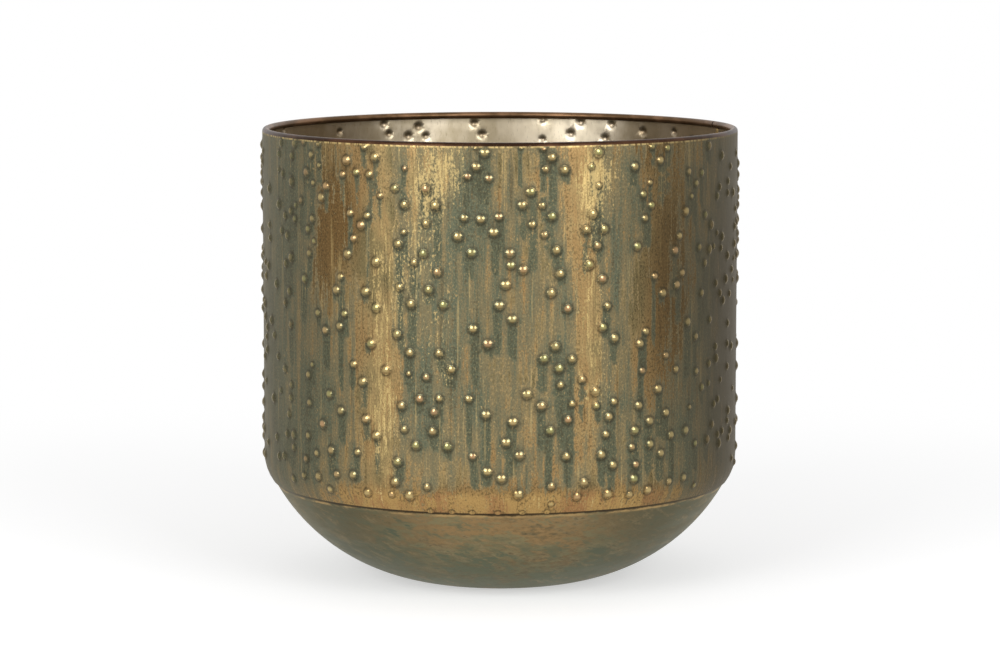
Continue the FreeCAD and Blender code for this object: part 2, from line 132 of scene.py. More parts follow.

# %% [markdown]
# ## Where the domes are
#
# The domes are scattered without a pattern, about two to each degree round the wall. Those that the
# photograph shows are listed: degrees to the right of the middle, height above the seam as a
# share of the whole, and a size from 1, small, to 3, large. The seventeen dimples that show on the
# inside, over the far rim, are listed in the same way. The rest of the back isn't seen. It repeats
# the front turned half round, as the solid's large domes do, and a seeded random scatter fills the
# two sides between them with the same mix of sizes and the same least distance.

# %% The domes in view, row by row from the rim down
WALL_HEIGHT = RIM_LEVEL - SEAM_LEVEL
FRONT_DOMES = [
    (-52.6, .985, 2), (-47.0, .984, 2), (-32.8, .982, 2), (-5.5, .99, 1), (4.7, .99, 1), (9.85, .986, 2),
    (37.4, .982, 2), (42.2, .974, 2), (-65.0, .943, 2), (-63.6, .974, 2), (-49.7, .951, 2),
    (-29.9, .955, 3), (-37.9, .943, 3), (-3.5, .973, 3), (-5.4, .9355, 3), (11.85, .960, 3),
    (23.0, .971, 3), (39.9, .942, 3), (21.3, .933, 1), (14.8, .926, 3), (-22.2, .928, 1),
    (-46.8, .924, 1), (10.3, .929, 2), (32.5, .929, 3), (-35.1, .912, 2), (-31.4, .908, 2),
    (-7.35, .910, 2), (-2.5, .905, 2), (-39.1, .904, 2), (-51.5, .902, 3), (49.7, .905, 2),
    (55.0, .898, 2), (-62.7, .890, 2), (36.95, .8835, 1), (23.2, .882, 1), (-24.7, .874, 2),
    (-49.0, .875, 1), (-17.15, .875, 3), (-44.4, .869, 3), (7.0, .869, 3), (52.7, .871, 2),
    (-28.6, .852, 1), (34.95, .853, 2), (64.2, .852, 2), (-46.1, .837, 3), (50.85, .837, 1),
    (5.05, .834, 3), (9.6, .8325, 2), (-22.3, .831, 3), (-14.8, .831, 3), (62.8, .828, 2),
    (-53.8, .823, 2), (37.35, .822, 2), (21.7, .8065, 3), (11.9, .803, 3), (-0.25, .8025, 2),
    (-36.9, .801, 2), (-8.15, .7995, 2), (48.65, .798, 3), (-32.0, .797, 2), (-4.35, .796, 3),
    (35.45, .788, 2), (-17.05, .7825, 2), (7.35, .782, 2), (56.7, .782, 2), (-49.4, .777, 2),
    (-61.6, .775, 2), (-33.8, .770, 3), (20.05, .765, 3), (24.45, .765, 3), (-1.4, .761, 3),
    (-22.5, .757, 1), (10.2, .754, 2), (-9.65, .7495, 3), (-51.05, .747, 2), (-36.0, .733, 2),
    (46.35, .7325, 2), (-63.6, .732, 2), (-23.85, .725, 3), (22.75, .721, 3), (-48.8, .716, 1),
    (33.35, .7135, 3), (12.9, .712, 3), (-6.45, .7065, 3), (2.25, .7055, 3), (-17.7, .702, 3),
    (54.1, .695, 2), (44.85, .694, 3), (-37.7, .690, 3), (65.3, .682, 2), (-50.6, .681, 2),
    (-19.9, .677, 2), (-29.7, .674, 3), (2.5, .673, 2), (20.75, .671, 3), (5.3, .661, 3),
    (-14.4, .653, 3), (13.8, .649, 3), (56.6, .649, 2), (-61.4, .643, 2), (24.05, .6315, 3),
    (47.4, .631, 2), (38.4, .629, 2), (-39.9, .626, 2), (1.25, .621, 3), (-52.6, .609, 3),
    (-23.6, .609, 2), (-16.4, .605, 3), (45.5, .600, 3), (11.7, .598, 3), (-32.55, .591, 3),
    (-41.2, .589, 3), (62.3, .5875, 2), (40.9, .5815, 3), (-59.6, .568, 2), (55.2, .568, 2),
    (-0.15, .5655, 3), (-12.95, .5655, 3), (-20.7, .565, 3), (64.8, .557, 2), (25.4, .557, 2),
    (15.55, .555, 3), (-29.7, .5495, 3), (-61.8, .533, 2), (2.8, .528, 3), (-38.7, .5265, 2),
    (-47.45, .521, 2), (-6.15, .5025, 3), (24.2, .5005, 3), (49.5, .494, 3), (-40.15, .4915, 3),
    (59.1, .490, 2), (-24.2, .4815, 3), (35.85, .481, 2), (-58.9, .4765, 2), (-44.85, .476, 3),
    (27.2, .469, 3), (-2.75, .462, 3), (12.7, .4535, 3), (-31.15, .451, 3), (52.75, .4505, 2),
    (34.2, .449, 3), (-13.95, .435, 3), (-69.0, .434, 2), (-21.0, .4335, 3), (10.05, .4215, 3),
    (16.6, .418, 3), (62.4, .411, 2), (42.0, .4105, 2), (13.6, .3945, 3), (-11.1, .3925, 3),
    (-36.05, .391, 2), (-27.1, .3825, 3), (-66.3, .378, 2), (-21.35, .3765, 1), (-49.7, .376, 1),
    (34.8, .375, 2), (-17.05, .369, 2), (45.4, .3685, 2), (19.1, .362, 2), (53.1, .3545, 2),
    (13.9, .3495, 2), (-62.3, .349, 2), (-51.2, .3465, 2), (-33.45, .3455, 3), (22.4, .328, 3),
    (6.15, .326, 3), (39.6, .3205, 3), (-7.1, .3135, 2), (-13.95, .313, 2), (-18.6, .310, 3),
    (-58.9, .309, 2), (55.65, .307, 2), (-43.6, .302, 3), (16.65, .2975, 2), (27.1, .297, 2),
    (9.45, .294, 3), (-23.1, .2885, 3), (22.65, .2885, 2), (33.85, .281, 3), (-15.15, .2755, 3),
    (-59.2, .272, 2), (-3.2, .271, 3), (-50.85, .270, 2), (-39.9, .2605, 3), (50.5, .2585, 1),
    (25.8, .257, 3), (15.7, .255, 3), (42.1, .253, 3), (61.6, .252, 2), (2.95, .251, 3),
    (-32.6, .2445, 3), (37.05, .235, 3), (11.5, .2265, 3), (-60.2, .226, 2), (-22.5, .225, 2),
    (-15.55, .223, 3), (-45.9, .217, 3), (32.8, .2135, 3), (25.05, .2095, 2), (-29.8, .2015, 3),
    (1.45, .196, 3), (48.95, .196, 3), (60.7, .196, 2), (43.75, .190, 3), (-19.6, .183, 3),
    (-12.05, .183, 3), (-51.45, .178, 2), (37.2, .172, 3), (32.0, .169, 2), (-61.3, .169, 2),
    (63.9, .163, 2), (4.45, .161, 3), (-6.25, .158, 2), (15.3, .1555, 3), (23.9, .155, 3),
    (52.8, .1545, 2), (-35.05, .1515, 2), (-43.05, .148, 3), (40.5, .143, 3), (-57.9, .136, 2),
    (-24.2, .135, 3), (-48.2, .1335, 2), (26.9, .1245, 3), (33.1, .120, 2), (-2.9, .1165, 3),
    (-52.4, .112, 2), (-66.2, .098, 2), (0.35, .098, 3), (-36.3, .088, 3), (-41.4, .084, 2),
    (19.6, .082, 3), (32.6, .0815, 3), (-24.8, .080, 3), (11.75, .076, 2), (-16.9, .0715, 2),
    (-47.7, .070, 3), (48.4, .066, 2), (-53.4, .064, 2), (43.3, .0625, 2), (4.2, .055, 3),
    (36.8, .046, 3), (25.7, .0455, 3), (-21.3, .0445, 3), (-25.9, .044, 1), (17.95, .044, 2),
    (-32.4, .043, 2), (-43.9, .039, 2), (31.6, .039, 2), (53.1, .037, 1), (11.9, .026, 1),
    (-16.7, .002, 1), (-11.5, .002, 1), (-6.6, .002, 1), (-0.5, .002, 1), (5.3, .002, 1),
    (11.2, .003, 1),
]
LEFT_EDGE_SHARES = [
    .951, .917, .872, .847, .8155, .779, .716, .6375, .5825,
    .540, .4915, .301, .2675, .218, .1775, .149, .122, .076,
]
RIGHT_EDGE_SHARES = [
    .900, .8675, .824, .784, .742, .703, .684, .6445, .5755, .390, .327, .2325, .097,
]
LEFT_EDGE = -86.0
RIGHT_EDGE = 85.0
DIMPLES_SEEN_INSIDE = [
    (-134.8, .952, 2), (-148.8, .968, 3), (-150.3, .938, 2), (-155.8, .930, 3), (-158.6, .957, 3),
    (-160.6, .929, 2), (-173.4, .965, 3), (-175.4, .931, 3), (-190.9, .978, 3), (-198.5, .936, 3),
    (-201.2, .971, 3), (-191.0, .918, 2), (-208.0, .925, 3), (-209.9, .967, 3), (-219.4, .950, 3),
    (-230.2, .955, 2), (-220.5, .915, 2),
]
print(len(FRONT_DOMES), "domes read from the front")


# %% The rest of the domes, scattered
class Dome(namedtuple("Dome", "across along radius height polish hue")):
    """One punched dome: its place on the flat strip, its size, how bare it is rubbed with painted shade
    towards the two sides, and its hue.
    """


DOME_SIZES = {1: (2.1 * MM, 0.9 * MM), 2: (2.7 * MM, 1.2 * MM), 3: (3.25 * MM, 1.45 * MM)}
SIZE_MIX = (1, 2, 2, 2, 3, 3, 3, 3)
DOMES_PER_DEGREE = 2.16
LEAST_DISTANCE = 5.6 * MM
SEAM_TURN = 110.0
FOOT_ROW = 0.02
REPEATED_TURN = 60
REPEATED_BELOW = 0.89
EDGE_WOBBLE = 1.5
DULL_FROM, DULL_SPAN, DULL_SHARE = 0.72, 0.18, 0.88
UNSEEN_SPANS = ((-83, -56), (56, 82), (88, 107.5), (-122, -89), (-247.5, -236))
chance = random.Random(11)


def dome_at(turn, share, size):
    """A dome from its reading: degrees to the right of the front, share of the height, and size."""
    radius, height = DOME_SIZES[size]
    swell = chance.uniform(0.95, 1.05)
    across = WALL_RADIUS * math.radians(turn)
    along = along_at_level(SEAM_LEVEL + share * WALL_HEIGHT)
    # Painted shade: towards the two sides the caps' polish is cut down, so they show darker there.
    cap_side_shade = clamped((abs(math.sin(math.radians(turn))) - DULL_FROM) / DULL_SPAN)
    polish = chance.uniform(0.75, 1.0) * (1.0 - DULL_SHARE * cap_side_shade)
    if share < FOOT_ROW:
        polish *= 0.1
    return Dome(across, along, radius * swell, height * swell, polish, chance.uniform(-1, 1))


def stands_clear(dome, others):
    """Whether a dome keeps the least distance from the others, also across the strip's two ends."""
    girth = 2 * math.pi * WALL_RADIUS
    for other in others:
        apart = abs(dome.across - other.across) % girth
        if math.hypot(min(apart, girth - apart), dome.along - other.along) < LEAST_DISTANCE:
            return False
    return True


def scatter(domes, start, end, count):
    """Adds domes at random turns between start and end, until there are count of them there."""
    there = sum(1 for dome in domes if start < math.degrees(dome.across / WALL_RADIUS) < end)
    while there < count:
        extra = dome_at(chance.uniform(start, end), chance.uniform(0.025, 0.985), chance.choice(SIZE_MIX))
        if stands_clear(extra, domes):
            domes.append(extra)
            there += 1


domes = [dome_at(*reading) for reading in FRONT_DOMES]
for edge, shares in ((LEFT_EDGE, LEFT_EDGE_SHARES), (RIGHT_EDGE, RIGHT_EDGE_SHARES)):
    domes += [dome_at(edge + chance.uniform(-EDGE_WOBBLE, EDGE_WOBBLE), share, 3) for share in shares]
domes += [dome_at(*reading) for reading in DIMPLES_SEEN_INSIDE]
for turn, share, size in FRONT_DOMES:
    if abs(turn) < REPEATED_TURN and FOOT_ROW < share < REPEATED_BELOW:
        domes.append(dome_at(turn - 180, share, size))
for start, end in UNSEEN_SPANS:
    scatter(domes, start, end, round((end - start) * DOMES_PER_DEGREE))
print(len(domes), "domes on the whole wall")

# %% [markdown]
# ## Looking up what is near a point
#
# The wall gets tens of thousands of points, and each has to know its nearest domes. Comparing
# everything with everything would take minutes. A grid of pigeonholes does it at once: each dome is
# filed in the square that it lies in, and a point looks only in the squares around its own.

# %% Pigeonholes on the flat strip
class Pigeonholes:
    """Things filed by the square of the flat strip that they lie in."""

    def __init__(self, side):
        """Starts with empty squares of a side's length."""
        self.side = side
        self.squares = {}

    def square(self, across, along):
        """Column and row of the square that a point lies in."""
        return int(across // self.side), int(along // self.side)

    def file(self, thing, across, along):
        """Files a thing under the square of a point."""
        self.squares.setdefault(self.square(across, along), []).append(thing)

    def near(self, across, along):
        """All things filed in the square of a point and in the eight around it."""
        column, row = self.square(across, along)
        found = []
        for side in (-1, 0, 1):
            for step in (-1, 0, 1):
                found += self.squares.get((column + side, row + step), ())
        return found


HOLE = 9 * MM
filed_domes = Pigeonholes(HOLE)
for dome in domes:
    filed_domes.file(dome, dome.across, dome.along)
print(len(filed_domes.squares), "squares hold", len(domes), "domes")

# %% [markdown]
# ## The shape of one dome
#
# A round punch leaves a cap with a soft foot, not half a ball: steepest about two thirds of the way
# out, then easing into the sheet. A cosine has that shape. Where two domes meet, the higher one
# wins, which leaves the crease between them that the real sheet has. Under the rolled rim the domes
# fade out, because the rolling pressed them flat.

# %% Height of the sheet's surface over the plain wall
FOOT_SPREAD = 1.24
CAP_SHAPE = 1.4
FADE_LENGTH = 1.6 * MM
straight_end = bend_length + straight_length


def reach_of(dome, across, along):
    """Distance from a dome's middle, counted in its radii."""
    return math.hypot(across - dome.across, along - dome.along) / dome.radius


def dome_height(dome, reach):
    """How far a dome lifts the sheet, at a distance counted in its radii."""
    if reach >= FOOT_SPREAD:
        return 0.0
    cap = 0.5 + 0.5 * math.cos(math.pi * min(1.0, (reach / FOOT_SPREAD) ** CAP_SHAPE))
    return dome.height * cap


def lift_of(across, along):
    """Lift of the sheet at a point of the strip, and how far up a dome that is, from 0 to 1."""
    lift, share = 0.0, 0.0
    for dome in filed_domes.near(across, along):
        height = dome_height(dome, reach_of(dome, across, along))
        if height > lift:
            lift, share = height, height / dome.height
    fade = clamped((straight_end - along) / FADE_LENGTH)
    return lift * fade, share * fade


for reach in (0, 0.4, 0.75, 1.0, 1.2):
    share = dome_height(domes[0], reach) / domes[0].height
    print(f"at {reach:.2f} radii a dome is {share:.2f} of its height")

# %% [markdown]
# ## Where the verdigris ran down
#
# The green of the finish gathers round the domes and runs down from them in short tongues with
# round ends. Most domes have one. Each tongue is kept as a place, a length and a half width, so that
# the mesh can have points along it and the material can colour it.

# %% The tongues below the domes
class Tongue(namedtuple("Tongue", "across along length half_width")):
    """One run of verdigris: its top on the strip, its length downwards and half its width."""


TONGUE_LENGTHS = (10, 14, 18, 24, 30, 40)
TONGUE_CHANCE = 0.72
SHORTEST_TONGUE = 8 * MM
BARE_FOOT = 12 * MM


def tongue_below(dome):
    """A tongue that starts in the middle of a dome, and stops above the bare band at the foot."""
    length = chance.choice(TONGUE_LENGTHS) * MM * chance.uniform(0.8, 1.25)
    lowest = BARE_FOOT + chance.uniform(0, 6 * MM)
    length = min(length, dome.along - lowest)
    sideways = chance.uniform(-0.4, 0.4) * dome.radius
    return Tongue(dome.across + sideways, dome.along, length, dome.radius * chance.uniform(0.85, 1.35))


tongues = [tongue_below(dome) for dome in domes if chance.random() < TONGUE_CHANCE]
tongues = [tongue for tongue in tongues if tongue.length > SHORTEST_TONGUE]
print(len(tongues), "tongues")


# %% How much of a tongue is at a point
filed_tongues = Pigeonholes(HOLE)
for tongue in tongues:
    top, bottom = int(tongue.along // HOLE), int((tongue.along - tongue.length) // HOLE)
    for row in range(bottom, top + 1):
        filed_tongues.file(tongue, tongue.across, (row + 0.5) * HOLE)


def tongue_share(across, along):
    """One on a tongue's middle line, falling to nothing at its sides and its lower end."""
    share = 0.0
    for tongue in filed_tongues.near(across, along):
        down = (tongue.along - along) / tongue.length
        if 0 <= down <= 1:
            side = 1 - abs(across - tongue.across) / tongue.half_width
            share = max(share, min(side, 4 * (1 - down)))
    return share


print("on a middle line:", round(tongue_share(tongues[0].across, tongues[0].along - 4 * MM), 2))

# %% [markdown]
# ## The points of the sheet
#
# A grid fine enough for round domes would have half a million faces, and domes set on top would
# leave the inside smooth, where the real sheet shows a dimple behind each dome. So the points are
# put where the shape needs them: rings round each dome, three lines along each tongue, close rows
# in the curl, and a wide grid everywhere else. No point is laid too near another. The rows of the
# curl are kept as lines of the net, so that no long triangle cuts across the bend.

# %% Lay the points on the flat strip
DOME_RINGS = ((0.40, 6), (0.74, 10), (1.0, 12), (1.24, 12), (1.5, 9))
STRIP_LEFT = WALL_RADIUS * math.radians(SEAM_TURN - 360)
STRIP_RIGHT = WALL_RADIUS * math.radians(SEAM_TURN)
GIRTH = STRIP_RIGHT - STRIP_LEFT
FAR_AWAY = 9.0
laid = []
laid_squares = Pigeonholes(2 * MM)


def lay(across, along, clearance):
    """Lays a point on the strip, unless another is nearer than the clearance."""
    point = (across, along)
    if all(math.dist(other, point) >= clearance for other in laid_squares.near(across, along)):
        laid.append(point)
        laid_squares.file(point, across, along)


def nearest_dome(across, along, besides=None):
    """The nearest dome, counted in its own radii, and that distance, leaving out one dome."""
    others = [dome for dome in filed_domes.near(across, along) if dome is not besides]
    dome = min(others, key=lambda other: reach_of(other, across, along), default=None)
    return dome, reach_of(dome, across, along) if dome else FAR_AWAY


# %% Rows of the curl, the foot edge and the two ends
COLUMNS = 150
PLAIN_ROWS = 34
EDGE_REACH = 1.3
CURL_ROWS = 15
FOOT_ROWS = (0, 4.2 * MM, 8.5 * MM, 12.8 * MM)
EDGE_CLEARANCE = 0.3 * MM
curl_rows = [straight_end + curl_length * row / CURL_ROWS for row in range(CURL_ROWS + 1)]
plain_height = straight_end - FOOT_ROWS[-1]
plain_rows = [FOOT_ROWS[-1] + plain_height * row / PLAIN_ROWS for row in range(1, PLAIN_ROWS)]
kept_lines = []
for along in (*FOOT_ROWS, *curl_rows):
    first = len(laid)
    for column in range(COLUMNS + 1):
        across = STRIP_LEFT + GIRTH * column / COLUMNS
        at_edge = along == 0 or along >= straight_end or column in (0, COLUMNS)
        if at_edge or nearest_dome(across, along)[1] > EDGE_REACH:
            lay(across, along, EDGE_CLEARANCE)
    if along >= straight_end:
        kept_lines += [(point, point + 1) for point in range(first, len(laid) - 1)]
for along in plain_rows:
    lay(STRIP_LEFT, along, EDGE_CLEARANCE)
    lay(STRIP_RIGHT, along, EDGE_CLEARANCE)
print(len(laid), "points in the edges")

# %% Rings round the domes
DOME_CLEARANCE = 0.5 * MM
OVERLAP = 0.02
FOOT_MARGIN = 1 * MM
CURL_MARGIN = 0.6 * MM
for dome in domes:
    lay(dome.across, dome.along, DOME_CLEARANCE)
    for ring, (spread, count) in enumerate(DOME_RINGS):
        for corner in range(count):
            turn = math.tau * (corner + 0.5 * (ring % 2)) / count
            across = dome.across + dome.radius * spread * math.cos(turn)
            along = dome.along + dome.radius * spread * math.sin(turn)
            inside = FOOT_MARGIN < along < straight_end - CURL_MARGIN
            if inside and nearest_dome(across, along, dome)[1] > spread + OVERLAP:
                lay(across, along, DOME_CLEARANCE)
    if dome.along < dome.radius:
        for step in (-1.24, -0.9, -0.6, -0.3, 0, 0.3, 0.6, 0.9, 1.24):
            lay(dome.across + step * dome.radius, 0, EDGE_CLEARANCE)
print(len(laid), "points with the domes")

# %% Lines along the tongues, and the wide grid
TONGUE_STEP = 6 * MM
TONGUE_REACH = 1.5
PLAIN_REACH = 1.85
SEAM_MARGIN = 2 * MM
TONGUE_CLEARANCE = 1.2 * MM
PLAIN_CLEARANCE = 2.2 * MM
for tongue in tongues:
    steps = math.ceil(tongue.length / TONGUE_STEP)
    for step in range(steps + 1):
        along = tongue.along - tongue.length * step / steps
        for side in (-1, 0, 1):
            across = tongue.across + side * tongue.half_width
            if nearest_dome(across, along)[1] > TONGUE_REACH and along > FOOT_MARGIN:
                lay(across, along, TONGUE_CLEARANCE)
for row, along in enumerate(plain_rows, 1):
    for column in range(1, COLUMNS):
        across = STRIP_LEFT + GIRTH * (column + 0.5 * (row % 2)) / COLUMNS
        if nearest_dome(across, along)[1] > PLAIN_REACH and across < STRIP_RIGHT - SEAM_MARGIN:
            lay(across, along, PLAIN_CLEARANCE)
print(len(laid), "points in all")

# %% Join the points into a flat net of triangles
flat_points = [Vector(point) / MM for point in laid]
net_points, _, net_faces, *_ = delaunay_2d_cdt(flat_points, kept_lines, [], 0, 1e-5)
net_points = [(point.x * MM, point.y * MM) for point in net_points]
print(len(net_points), "points,", len(net_faces), "triangles")

# %% [markdown]
# ## Rolling the sheet up
#
# Now the flat net is bent to its section and rolled round, and each point is lifted by its dome.
# At the side seam the two ends of the curl don't quite meet: rolling over the wire stretches the
# edge, and a small wedge opens there. The same function pulls the ends back a little for it.

# %% From the strip to the round wall
WEDGE = 1.3 * MM
BUTT_GAP = 0.5 * MM
PULL_REACH = 12 * MM


def roll_up(across, along):
    """The place of a point of the strip on the finished round wall."""
    radius, level, facing = wall_section(along)
    lift, _ = lift_of(across, along)
    opened = max(0.0, (along - straight_end) / curl_length)
    pull = BUTT_GAP / 2 + WEDGE * opened ** 1.5
    for end, side in ((STRIP_LEFT, 1), (STRIP_RIGHT, -1)):
        nearness = max(0.0, 1 - abs(across - end) / PULL_REACH)
        across += side * pull * nearness
    turn = across / WALL_RADIUS
    radius += lift * facing[0]
    level += lift * facing[1]
    return Vector((radius * math.sin(turn), -radius * math.cos(turn), level))


wall_mesh = bpy.data.meshes.new("domed_wall")
wall_mesh.from_pydata([roll_up(*point) for point in net_points], [], net_faces)
wall = set_up("domed_wall", wall_mesh)
print("highest point at", round(max(vertex.co.z for vertex in wall_mesh.vertices) / MM, 2), "mm")

# %% [markdown]
# ## What the finish has to know
#
# The patina follows the sheet, so the material reads the strip's own measure as a UV map, and a few
# values that are stored at the points: how high on a dome a point is, the painted shade in a dome's
# foot and on its lower half, how near a dome it is, the tongues, the bare band at the foot edge, and
# four slow washes for the places where the brass is greener, redder or paler, and where painted shade
# darkens the wall towards its two sides. The back isn't seen, and mirrors the front's washes.

# %% Washes painted on the wall
WASHES = {}
WASHES["green_wash"] = [
    (-74, 0.50, 18, 0.80, 0.60), (-52, 0.85, 5, 0.20, 0.26), (-44, 0.74, 5, 0.24, -0.36),
    (-45, 0.22, 8, 0.28, 0.34), (-30, 0.50, 4.2, 0.80, -0.38), (-23.5, 0.93, 1.6, 0.14, 0.40),
    (-19, 0.86, 4, 0.14, -0.08), (-18, 0.40, 6, 0.42, 0.30), (-8, 0.76, 8, 0.28, 0.32),
    (-6, 0.34, 5, 0.28, 0.22), (5, 0.55, 6, 0.50, 0.16), (15, 0.35, 2.6, 0.36, 0.32),
    (20.5, 0.62, 3.4, 0.36, -0.40), (28, 0.82, 5.5, 0.24, 0.40), (27, 0.50, 3, 0.18, 0.20),
    (41, 0.62, 7, 0.34, -0.26), (26, 0.22, 6, 0.20, 0.20), (52, 0.45, 6, 0.60, 0.22),
    (78, 0.50, 16, 0.80, 0.55), (42, 0.20, 9, 0.20, 0.26),
]
WASHES["copper_wash"] = [
    (-46, 0.72, 8, 0.30, 0.8), (-38, 0.80, 5, 0.10, 0.5), (0, 0.02, 40, 0.06, 0.8),
    (44, 0.60, 9, 0.36, 0.8), (33, 0.97, 8, 0.05, 0.6), (60, 0.30, 8, 0.30, 0.5),
    (-64, 0.10, 10, 0.12, 0.5),
]
WASHES["pale_wash"] = [
    (-17, 0.88, 5, 0.13, 0.9), (-21, 0.62, 5, 0.14, 0.6), (-29, 0.60, 4, 0.50, 0.6),
    (21, 0.62, 4, 0.36, 0.7), (-13, 0.45, 4, 0.20, 0.5), (27, 0.35, 5, 0.12, 0.4),
    (-10, 0.93, 4, 0.08, 0.6), (4, 0.90, 7, 0.12, 0.4), (24, 0.92, 6, 0.10, 0.7),
    (-26, 0.20, 5, 0.20, 0.5), (0, 0.25, 14, 0.20, 0.35),
]
# Painted shade that darkens the wall towards its two sides, with a few darker patches.
WASHES["side_shade_wash"] = [
    (-86, 0.50, 22, 1.20, 0.60), (86, 0.50, 22, 1.20, 0.95), (62, 0.45, 12, 0.80, 0.45),
    (43, 0.68, 9, 0.42, 0.42), (-52, 0.60, 7, 0.60, 0.16),
]


BAND_TOP = 0.085
BAND_FADE = 0.05


def front_place(across, along):
    """Degrees to the right of the front, the back mirrored to it, and share of the height."""
    turn = (math.degrees(across / WALL_RADIUS) + 180) % 360 - 180
    if abs(turn) > 90:
        turn = math.copysign(180 - abs(turn), turn)
    return turn, (wall_section(along)[1] - SEAM_LEVEL) / WALL_HEIGHT


def foot_band(turn, share):
    """One in the bare band above the foot edge at the front and back, fading upwards and sideways."""
    sides = max(0.0, math.cos(math.radians(1.5 * turn))) ** 0.7
    return sides * clamped((BAND_TOP - share) / BAND_FADE)


def wash_at(washes, turn, share):
    """Adds up soft patches: degrees and share of the middle, half width and half height, strength."""
    total = 0.0
    for middle, level, half_width, half_height, strength in washes:
        distance = math.hypot((turn - middle) / half_width, (share - level) / half_height)
        total += strength * math.exp(-0.7 * distance ** 2)
    return total


print("green at the left, half way up:", round(wash_at(WASHES["green_wash"], -74, 0.5), 2))


# %% Values stored at the points
ON_DOME = 1.3
# Where the painted shade in the crease round each dome's foot lies, in the dome's radii.
FOOT_RING, RING_WIDTH = 1.06, 0.33
HALO_REACH, HALO_FADE = 2.5, 1.2


def finish_values(across, along):
    """What the material reads at a point of the strip, by name."""
    dome, reach = nearest_dome(across, along)
    place = front_place(across, along)
    values = {
        "dome_share": lift_of(across, along)[1],
        "dome_polish": dome.polish if dome else 0.0,
        "dome_hue": dome.hue if dome else 0.0,
        # Painted shade in the crease round a dome's foot.
        "dome_foot_shade": max(0.0, 1 - abs(reach - FOOT_RING) / RING_WIDTH),
        "near_dome": clamped((HALO_REACH - reach) / HALO_FADE),
        # Painted shade on a dome's lower half.
        "dome_under_shade": clamped((dome.along - along) / dome.radius) if reach <= ON_DOME else 0.0,
        "tongue": tongue_share(across, along),
        "foot_wash": foot_band(*place),
    }
    for name, washes in WASHES.items():
        values[name] = wash_at(washes, *place)
    return values


values_at_points = [finish_values(*point) for point in net_points]
for name in values_at_points[0]:
    layer = wall_mesh.attributes.new(name, "FLOAT", "POINT")
    layer.data.foreach_set("value", [values[name] for values in values_at_points])
print(len(values_at_points[0]), "values at each of", len(values_at_points), "points")

# %% The strip's own measure as a UV map
sheet_map = wall_mesh.uv_layers.new(name="strip")
for corner in wall_mesh.loops:
    across, along = net_points[corner.vertex_index]
    sheet_map.data[corner.index].uv = ((across - STRIP_LEFT) / GIRTH, along / GIRTH)
for face in wall_mesh.polygons:
    in_curl = min(net_points[index][1] for index in face.vertices) > straight_end - 0.01 * MM
    face.material_index = 2 if in_curl else 0
    face.use_smooth = True
print("one unit of the map is", round(GIRTH, 4), "m")

# %% [markdown]
# ## Helpers for the finishes
#
# Every metal here is one Principled shader fed by a few noises. Small helpers keep the node trees
# readable. They put a node in and join what it is given, make noise that can be stretched, add
# values up, turn a value into a mask with a soft edge, and lay colours over one another. A layer is
# written as a colour, a value, the two limits between which the value brings the colour in, and
# any strengths.

# %% Helpers that make materials and nodes
def feed(tree, node, inputs):
    """Joins sockets to a node's inputs, and sets plain values on the inputs themselves."""
    for name, value in inputs.items():
        if isinstance(value, bpy.types.NodeSocket):
            tree.links.new(value, node.inputs[name])
        else:
            node.inputs[name].default_value = value


def put(tree, kind, inputs=None, **settings):
    """Adds a node, sets it up, and feeds its inputs."""
    node = tree.nodes.new("ShaderNode" + kind)
    for name, setting in settings.items():
        setattr(node, name, setting)
    feed(tree, node, inputs or {})
    return node


def blank_material(name):
    """A material with nothing in its tree but an output."""
    material = bpy.data.materials.new(name)
    material.use_nodes = True
    material.node_tree.nodes.clear()
    return material, material.node_tree, put(material.node_tree, "OutputMaterial")


def new_metal(name):
    """A material with one Principled shader, ready for its inputs."""
    metal, tree, output = blank_material(name)
    shader = put(tree, "BsdfPrincipled")
    feed(tree, output, {"Surface": shader.outputs["BSDF"]})
    return metal, tree, shader


print("helpers for trees:", ", ".join(helper.__name__ for helper in (feed, put, new_metal)))


# %% Helpers for places and noise
def stored(tree, name):
    """The value that a mesh stores under a name."""
    return put(tree, "Attribute", attribute_name=name).outputs["Fac"]


def object_place(tree):
    """The place of a point in the object's own frame."""
    return put(tree, "TexCoord").outputs["Object"]


def along_axis(tree, place, axis):
    """One coordinate of a place."""
    return put(tree, "SeparateXYZ", {0: place}).outputs[axis]


def off_middle(tree, place):
    """Distance to the left or right of the pot's middle."""
    return put(tree, "Math", {0: along_axis(tree, place, "X")}, operation="ABSOLUTE").outputs[0]


def grain(tree, place, stretch, detail=3.0, roughness=0.55, shift=0.0):
    """Noise from 0 to 1 about 0.5, its size set by how the place is stretched."""
    moved = {"Vector": place, "Scale": stretch, "Location": (shift, shift, shift)}
    placed = put(tree, "Mapping", moved).outputs["Vector"]
    settings = {"Vector": placed, "Scale": 1.0, "Detail": detail, "Roughness": roughness}
    return put(tree, "TexNoise", settings).outputs["Fac"]


def tilted(tree, place, angle):
    """The place turned about the line of sight from the front, so that what is drawn there tilts."""
    turned = put(tree, "VectorRotate", {"Vector": place, "Angle": angle}, rotation_type="Y_AXIS")
    return turned.outputs["Vector"]


def bumped(tree, height, strength, distance):
    """A normal that follows a fine relief."""
    settings = {"Height": height, "Strength": strength, "Distance": distance}
    return put(tree, "Bump", settings).outputs["Normal"]


print("helpers for noise:", ", ".join(helper.__name__ for helper in (stored, grain, tilted, bumped)))


# %% Helpers for values and colours
def times(tree, first, second):
    """The product of two values."""
    return put(tree, "Math", {0: first, 1: second}, operation="MULTIPLY").outputs[0]


def sums(tree, *terms):
    """Adds up pairs of a value and its strength, and plain numbers."""
    total = None
    for term in terms:
        value, strength = term if isinstance(term, tuple) else (term, 1.0)
        scaled = times(tree, value, strength)
        if total is None:
            total = scaled
        else:
            total = put(tree, "Math", {0: total, 1: scaled}, operation="ADD").outputs[0]
    return total


